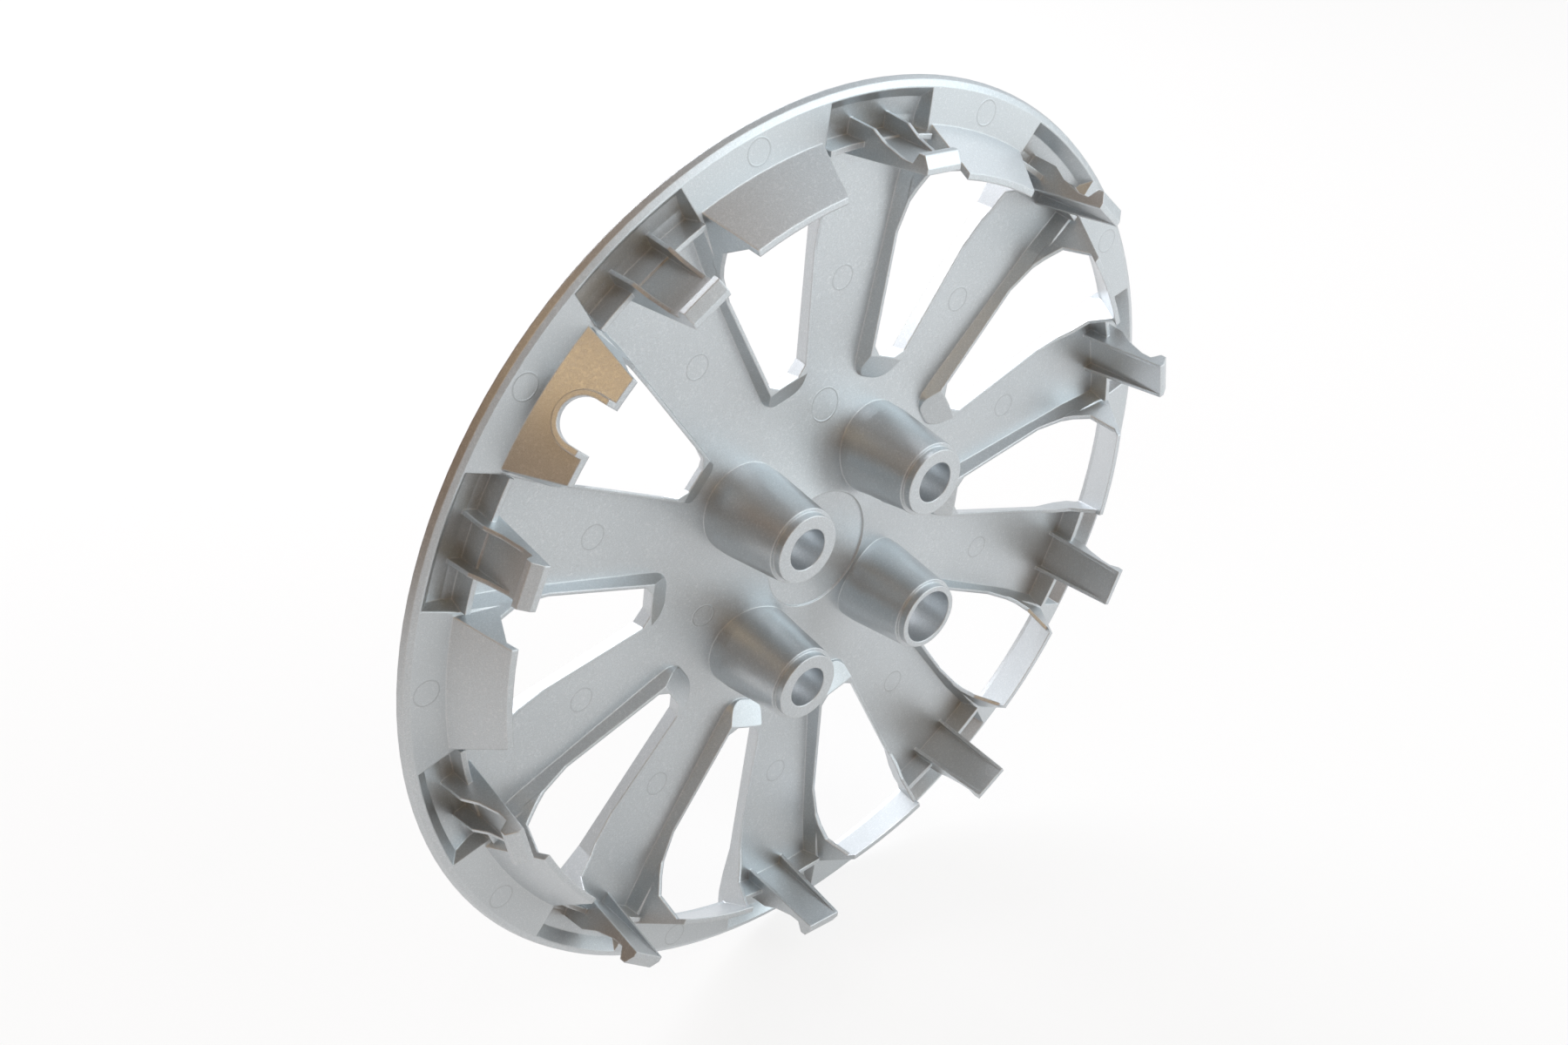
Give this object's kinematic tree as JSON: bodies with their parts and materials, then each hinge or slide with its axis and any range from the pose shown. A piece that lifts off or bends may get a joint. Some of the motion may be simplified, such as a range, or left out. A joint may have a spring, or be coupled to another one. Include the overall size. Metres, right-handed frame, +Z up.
{
  "type": "wheel cover",
  "caption": "Round one-piece moulded wheel cover with tapered windows between its spokes, bolt towers, a valve notch and barbed retaining clips on its inner side.",
  "frame": {"origin": "on the wheel axis, in the plane of the rim band's inner face", "axes": "+Y along the wheel axis towards the wheel (inboard), +Z up with the cover standing on its rim"},
  "size_m": [0.4, 0.0464, 0.4],
  "materials": {
    "cover": "satin silver paint on moulded plastic"
  },
  "bodies": {
    "root": {"wheel_cover": "cover"}
  },
  "joints": []
}
